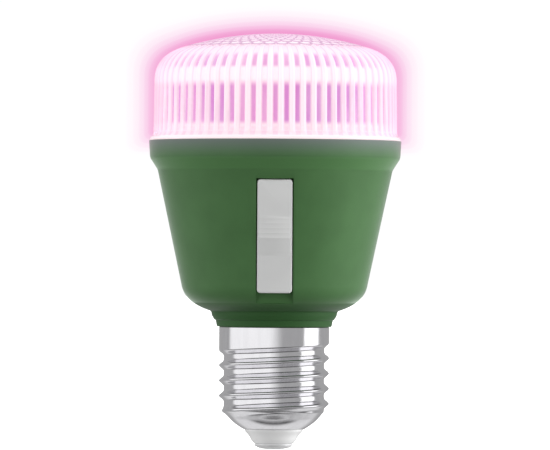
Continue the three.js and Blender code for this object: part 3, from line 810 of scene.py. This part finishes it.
def dome_rows():
    """Outer dome outline as (radius, level, rib share, net share) rows from the skirt to the pole."""
    foot = RIM_LEVEL + 0.1
    flange = [
        (26.5, 71.7), (28.1, 71.7, 0.2), (28.1, foot), (30.0, foot, 0.15), (30.0, foot + 0.55, 0.25),
        (29.4, foot + 0.85, 0.3), (29.15, 75.4),
    ]
    side_foot = (29.13, 75.6)
    side_top = (28.95, 88.3)
    radii, levels = zip(side_foot, side_top)
    side = [(np.interp(z, levels, radii), z) for z in np.linspace(75.9, 88.3, 14)]
    rows = []
    for r, z in rounded(flange, 3) + side:
        rows.append((r, z, smoothstep(z, 74.9, 76.2), 0))
    for r, z in bend(side_top, (28.7, 94.0), (CROWN_RADIUS, 96.0), 20):
        rows.append((r, z, smoothstep(r, CROWN_RADIUS, CROWN_RADIUS + 0.7), 0))
    for r in np.arange(CROWN_RADIUS - 0.2, PLAIN_DISC, -0.22):
        rows.append((r, crown_level(r), 0, smoothstep(r, PLAIN_DISC, PLAIN_DISC + 1)))
    rows += [(1.2, crown_level(1.2), 0, 0), (0, crown_level(0), 0, 0)]
    return rows


def crown_level(radius):
    """Level of the dome's shallow crown."""
    return 96.0 + 3.2 * (1 - (radius / CROWN_RADIUS) ** 2)


def rib_bump(angle):
    """Half-round rib across each pitch, 0 in the flat between ribs, 1 on the rib's top."""
    phase = (RIB_COUNT * angle / FULL_TURN) % 1 - 0.5
    return np.sqrt(np.clip(1 - (phase / RIB_HALF) ** 2, 0, 1))


def net_pillow(radius, angle):
    """Relief of the crown's scales: 0 on their round edges, 1 in the middle."""
    row = NET_ROWS * math.log(CROWN_RADIUS / max(radius, 0.5))
    across = (NET_COUNT * angle / FULL_TURN + math.floor(row) / 2) % 1 - 0.5
    reach = np.hypot(2 * across, 1 - row % 1)
    return np.sqrt(np.clip(np.abs(reach - 1) * 3, 0, 1))


def add_dome():
    """The ribbed and scaled dome as one closed shell."""
    sides = RIB_COUNT * 10
    around = np.array([FULL_TURN * s / sides for s in range(sides)])
    ribs = rib_bump(around)
    vertices = []
    rows = dome_rows()
    for radius, level, rib_share, net_share in rows:
        r = radius - RIB_HEIGHT * (1 - ribs) * rib_share
        z = level - NET_HEIGHT * (1 - net_pillow(radius, around)) * net_share
        vertices += list(zip(r * np.cos(around), r * np.sin(around), z))
    inner_crown = (21.0, 94.4)
    inside = [(0, 97.6), *bend((0, 97.6), (11, 97.6), inner_crown, 5)]
    inside += bend(inner_crown, (27.0, 92.4), (27.2, 88.3), 8)
    inside += [(27.2, 84), (26.5, 76)]
    for radius, level in inside:
        vertices += [(radius * math.cos(a), radius * math.sin(a), level) for a in around]
    # The outer and inner poles are neighbouring rows with no faces between them.
    pole = len(rows) - 1
    faces = [
        face
        for face in grid_faces(len(rows) + len(inside), sides, True)
        if not (face[0] // sides == pole and face[2] // sides == pole + 1)
    ]
    dome = object_from("ribbed_dome", vertices, faces, painted_glow_dome())
    settle(dome, "bulb", "dome_clear", "lens_dome")


def rib_phase(tree, angle):
    """0 on a rib's middle line, 0.5 half way to the next rib."""
    turns = math_node(tree, "MULTIPLY", angle, RIB_COUNT / FULL_TURN)
    return math_node(tree, "ABSOLUTE", math_node(tree, "SUBTRACT", math_node(tree, "FRACT", turns), 0.5))


def net_distance(tree, radius, angle):
    """0 on the round edges of the crown's scales, which lie in rows like tiles."""
    row = math_node(tree, "LOGARITHM", math_node(tree, "DIVIDE", CROWN_RADIUS, radius), math.e)
    row = math_node(tree, "MULTIPLY", row, NET_ROWS)
    turns = math_node(tree, "MULTIPLY", angle, NET_COUNT / FULL_TURN)
    turns = math_node(tree, "ADD", turns, math_node(tree, "MULTIPLY", math_node(tree, "FLOOR", row), 0.5))
    across = math_node(tree, "SUBTRACT", math_node(tree, "FRACT", turns), 0.5)
    across = math_node(tree, "ABSOLUTE", math_node(tree, "MULTIPLY", across, 2))
    across = math_node(tree, "POWER", across, 2)
    up = math_node(tree, "POWER", math_node(tree, "SUBTRACT", 1, math_node(tree, "FRACT", row)), 2)
    reach = math_node(tree, "SQRT", math_node(tree, "ADD", across, up))
    away = math_node(tree, "ABSOLUTE", math_node(tree, "SUBTRACT", reach, 1))
    # Each edge is broadest at the foot of its scale.
    return math_node(tree, "MULTIPLY", away, range_node(tree, across, 0.4, 0.9))


def stripe_depth(tree, level, valley):
    """How deep the painted mauve stripes are on the flats between the ribs, standing in for the light the
    ribs refract: two bands of uneven stripes, a bright ring between.
    """
    lower = window_node(tree, level, 77.4, 86.8, 0.8, 1.0)
    upper = window_node(tree, level, 90.7, 93.7, 0.5, 0.7)
    bands = math_node(tree, "MAXIMUM", lower, math_node(tree, "MULTIPLY", upper, 0.75))
    patches = range_node(tree, noise_node(tree, 260, 2, (1, 1, 0.2)), 0.35, 1.25)
    return math_node(tree, "MULTIPLY", math_node(tree, "MULTIPLY", bands, valley), patches, clamp=True)


def pale_glow(tree, level, valley):
    """Colour of the painted glow outside the stripes, from the flange to the crown."""
    ring = window_node(tree, level, 87.4, 95.6, 0.8, 0.4)
    pale = mix_colors(tree, ring, (0.95, 0.94, 0.85), (1.0, 1.04, 0.94))
    # A painted pink line of glow over the flange, broken by the white ends of the ribs
    foot = window_node(tree, level, 74.55, 75.5, 0.1, 0.15)
    foot = math_node(tree, "MULTIPLY", foot, range_node(tree, valley, 0.12, 0.4))
    pale = mix_colors(tree, foot, pale, (0.6, 0.25, 0.5))
    beads = math_node(tree, "MULTIPLY", window_node(tree, level, 75.6, 76.7, 0.15, 0.3), valley)
    pale = mix_colors(tree, math_node(tree, "MULTIPLY", beads, 0.25), pale, (0.6, 0.3, 0.55))
    crown = step_node(tree, level, 95.9, 96.3)
    return mix_colors(tree, crown, pale, (0.98, 1.32, 1.08))


def rib_edges(tree, level, radius, phase):
    """1 on thin lines along both sides of each rib."""
    above_flange = step_node(tree, level, 75.2, 76.0)
    outside_crown = step_node(tree, radius, CROWN_RADIUS, CROWN_RADIUS + 0.8)
    ribbed = math_node(tree, "MULTIPLY", above_flange, outside_crown)
    return math_node(tree, "MULTIPLY", window_node(tree, phase, 0.22, 0.28, 0.03, 0.03), ribbed)


def scale_outlines(tree, radius, angle):
    """1 on the outlines of the crown's scales."""
    away = step_node(tree, net_distance(tree, radius, angle), 0.06, 0.24)
    on_crown = window_node(tree, radius, PLAIN_DISC, CROWN_RADIUS - 0.1, 0.3, 0.15)
    return math_node(tree, "MULTIPLY", math_node(tree, "SUBTRACT", 1, away), on_crown)


def painted_glow_dome():
    """Clear plastic with the pink light from inside painted on as emission: pale ribs, painted mauve
    stripes between them, a painted white ring half way up.
    """
    plain = (0.5, 0.45, 0.49)
    material, tree, shader = new_material("painted_glow_dome", plain, 0.09)
    x, y, level = object_axes(tree)
    angle = math_node(tree, "ARCTAN2", y, x)
    squares = [math_node(tree, "MULTIPLY", axis, axis) for axis in (x, y)]
    radius = math_node(tree, "SQRT", math_node(tree, "ADD", *squares))
    phase = rib_phase(tree, angle)
    valley = step_node(tree, phase, RIB_HALF - 0.03, RIB_HALF + 0.06)
    depth = stripe_depth(tree, level, valley)
    hues = noise_node(tree, 90, 1, (1, 1, 0.3))
    mauve = ramp_node(tree, hues, [(0.35, (0.66, 0.2, 0.56)), (0.65, (0.5, 0.16, 0.58))])
    glow = mix_colors(tree, depth, pale_glow(tree, level, valley), mauve)
    # Painted shade: darker lines in the glow along both sides of each rib and round the crown's scales,
    # where the clear plastic bends the light
    edge = rib_edges(tree, level, radius, phase)
    glow = mix_colors(tree, math_node(tree, "MULTIPLY", edge, 0.38), glow, (0.4, 0.22, 0.4))
    outline = scale_outlines(tree, radius, angle)
    glow = mix_colors(tree, math_node(tree, "MULTIPLY", outline, 0.7), glow, (0.4, 0.24, 0.4))
    # The painted glow goes on as emission, on a dome that is no lamp
    tree.links.new(glow, shader.inputs["Emission Color"])
    shader.inputs["Emission Strength"].default_value = 0.585
    # The base colour carries the same painted stripes and outlines in a darker mauve
    tint = mix_colors(tree, depth, plain, (0.36, 0.2, 0.36))
    tint = mix_colors(tree, outline, tint, (0.4, 0.3, 0.4))
    tree.links.new(tint, shader.inputs["Base Color"])
    shader.inputs["Transmission Weight"].default_value = 0.4
    shader.inputs["IOR"].default_value = 1.49
    return material


# Light engine


def led_material():
    """Resin over the chip, glowing an uneven pink."""
    material, tree, shader = new_material("led_resin", (1.0, 0.7, 0.93), 0.3)
    glow = noise_node(tree, 1500, 2)
    pinks = ramp_node(tree, glow, [(0.3, (1, 0.45, 0.9)), (0.7, (1, 0.75, 0.97))])
    tree.links.new(pinks, shader.inputs["Emission Color"])
    shader.inputs["Emission Strength"].default_value = 2
    return material


def add_leds():
    """Square packages: a white moulded frame with a dish of resin; the end caps' metal is added to each,
    but no face wears it.
    """
    frame_white = plastic("led_frame", (0.85, 0.84, 0.82), 0.35, 0.000004, 0.02)
    resin = led_material()
    caps = metal("led_end_caps", (0.8, 0.78, 0.74), 0.3)
    for i in range(12):
        node = f"led_{i + 1:02d}"
        low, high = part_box(node)
        centre = (low + high) / 2
        turn = math.atan2(centre.y, centre.x)
        place = Matrix.Translation((centre.x, centre.y, low.z)) @ Matrix.Rotation(turn, 4, "Z")
        package = led_package(f"led_package_{i + 1:02d}", [frame_white, resin, caps])
        package.data.transform(place)
        settle(package, "bulb", "led_phosphor", node)


def led_package(name, materials):
    """One closed body: outline rings from the base up, over the frame's rim and down into the dish."""
    half, height = 1.5, 0.75
    rings = [
        ("square", half, 0.0, 0), ("square", half, height - 0.12, 0), ("square", half - 0.12, height, 0),
        ("round", 1.22, height, 0), ("round", 1.08, height - 0.14, 1), ("round", 0.75, height - 0.09, 1),
        ("round", 0.35, height - 0.06, 1),
    ]
    sides = 32
    shape = bmesh.new()
    loops = []
    for kind, reach, level, _ in rings:
        loop = []
        for s in range(sides):
            angle = FULL_TURN * (s + 0.5) / sides
            across, along = math.cos(angle), math.sin(angle)
            stretch = min(1 / max(abs(across), abs(along)), 1.36) if kind == "square" else 1
            spread = MM * reach * stretch
            loop.append(shape.verts.new((spread * across, spread * along, MM * level)))
        loops.append(loop)
    for low, high, ring in zip(loops, loops[1:], rings[1:]):
        bridge(shape, low, high, ring[3])
    shape.faces.new(loops[0][::-1])
    top = shape.faces.new(loops[-1])
    top.material_index = 1
    package = finish_mesh(name, shape, materials[0])
    for material in materials[1:]:
        package.data.materials.append(material)
    return package


# Materials of the carried-over CAD nodes


def board_material(name, mask, track):
    """Solder mask over copper tracks, which show as slightly lighter raised lines."""
    material, tree, shader = new_material(name, mask, 0.35)
    coords = tree.nodes.new("ShaderNodeTexCoord")
    cells = tree.nodes.new("ShaderNodeTexVoronoi")
    cells.distance = "MANHATTAN"
    cells.inputs["Scale"].default_value = 260
    tree.links.new(coords.outputs["Object"], cells.inputs["Vector"])
    lines = step_node(tree, cells.outputs["Distance"], 0.55, 0.62)
    tree.links.new(mix_colors(tree, lines, mask, track), shader.inputs["Base Color"])
    add_bump(tree, shader, lines, 0.00003)
    return material


def banded_material(name, color, band, roughness, scale, direction, share=0.5):
    """Turns of wire or printed bands: stripes along one axis with a matching bump."""
    material, tree, shader = new_material(name, color, roughness)
    wave = tree.nodes.new("ShaderNodeTexWave")
    wave.bands_direction = direction
    wave.inputs["Scale"].default_value = scale
    wave.inputs["Distortion"].default_value = 0.4
    coords = tree.nodes.new("ShaderNodeTexCoord")
    tree.links.new(coords.outputs["Object"], wave.inputs["Vector"])
    stripes = step_node(tree, wave.outputs["Fac"], share - 0.3, share + 0.3)
    tree.links.new(mix_colors(tree, stripes, band, color), shader.inputs["Base Color"])
    add_bump(tree, shader, wave.outputs["Fac"], 0.00008)
    return material


def dress_cad_nodes():
    """Gives every CAD node that stays its own finish."""
    green_board = board_material("green_board", (0.02, 0.13, 0.06), (0.05, 0.22, 0.1))
    white_board = board_material("white_board", (0.82, 0.82, 0.8), (0.74, 0.74, 0.72))
    black = plastic("black_case", (0.025, 0.025, 0.028), 0.4)
    white = plastic("white_case", (0.78, 0.78, 0.75), 0.42)
    tin = metal("tin_plate", (0.66, 0.66, 0.67), 0.3)
    aluminium = metal("pressed_aluminium", (0.62, 0.63, 0.64), 0.38, (1, 1, 0.2))
    silicone = plastic("silicone", (0.62, 0.63, 0.63), 0.6, 0.00002)
    ferrite = plastic("ferrite", (0.05, 0.05, 0.055), 0.65, 0.00003, 0.2)
    copper = banded_material("copper_winding", (0.6, 0.25, 0.1), (0.25, 0.08, 0.03), 0.3, 800, "Z")
    sleeve = plastic("capacitor_sleeve", (0.03, 0.035, 0.05), 0.3, 0.000005)
    resistor = banded_material("resistor_body", (0.62, 0.66, 0.6), (0.35, 0.1, 0.06), 0.4, 180, "Z", 0.35)
    yellow = plastic("film_case", (0.7, 0.47, 0.07), 0.4)
    blue = plastic("varistor_dip", (0.03, 0.1, 0.36), 0.35, 0.00004, 0.1)
    red_wire = plastic("red_insulation", (0.42, 0.02, 0.02), 0.45)
    black_wire = plastic("black_insulation", (0.02, 0.02, 0.02), 0.45)
    by_node = {
        "driver_board": green_board, "radio_board": green_board, "switch_board": green_board,
        "led_board": white_board, "lens_seal": silicone, "thermal_pad": silicone,
        "heat_spreader": aluminium,
        "led_connector": white, "slider_keeper": white, "switch_base": black, "switch_lever": black,
        "controller_ic": black, "bridge_rectifier": black, "transformer_core": ferrite,
        "transformer_winding": copper, "filter_inductor": copper, "bulk_capacitor": sleeve,
        "output_capacitor": sleeve, "film_capacitor": yellow, "varistor": blue, "fuse_resistor": resistor,
        "radio_shield": tin, "switch_frame": tin, "line_wire": red_wire, "led_wire_positive": red_wire,
        "switch_wire_left": red_wire, "neutral_wire": black_wire, "led_wire_negative": black_wire,
        "switch_wire_right": black_wire,
    }
    for name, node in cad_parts.items():
        material = by_node.get(name, tin if "screw" in name else None)
        if material:
            node.data.materials.clear()
            node.data.materials.append(material)


# Pink halo painted into the air round the lit dome

# Reach beyond the dome in millimetres, density per metre, and how far each shell drops below the dome
HALO_SHELLS = (
    (1.4, 11, 0.3), (2.4, 10, 1.2), (3.6, 6.5, 2.2), (5.0, 4.2, 3.2), (6.6, 2.6, 4.2), (8.4, 1.4, 5.0),
)


def add_halo():
    """Nested shells of pink-absorbing volume, a painted halo: they filter the white backdrop more towards
    the dome.
    """
    for i, (reach, density, drop) in enumerate(HALO_SHELLS):
        material = bpy.data.materials.new(f"painted_halo_{i}")
        material.use_nodes = True
        tree = material.node_tree
        tree.nodes.clear()
        absorb = tree.nodes.new("ShaderNodeVolumeAbsorption")
        absorb.inputs["Color"].default_value = (0.9, 0.2, 0.66, 1)
        absorb.inputs["Density"].default_value = density
        output = tree.nodes.new("ShaderNodeOutputMaterial")
        tree.links.new(absorb.outputs[0], output.inputs["Volume"])
        radius = 29.1 + reach
        corners = [
            (0, 75 - drop), (26, 75 - drop), (radius, 75 - drop, 1 + drop / 2),
            (radius, 92 + reach * 0.8, 9), (22, 96.4 + reach * 0.9, 6), (11, 98.7 + reach * 0.85, 8),
            (0, 99.3 + reach * 0.85),
        ]
        shell = turned(f"halo_{i}", rounded(corners, 10), material, 96)


add_camera()
add_world()
add_softbox("key_left", (-0.9, -1.3, 0.8), (0.9, 0.9), 4)
add_softbox("edge_right", (1.4, -0.1, 0.35), (0.5, 0.9), 7)
add_softbox("top_soft", (0.1, 0.1, 1.6), (1.2, 1.2), 6)
add_floor()
add_cap()
add_housing()
add_slider()
add_dome()
add_leds()
dress_cad_nodes()
add_halo()
bpy.context.scene.view_settings.view_transform = "Standard"
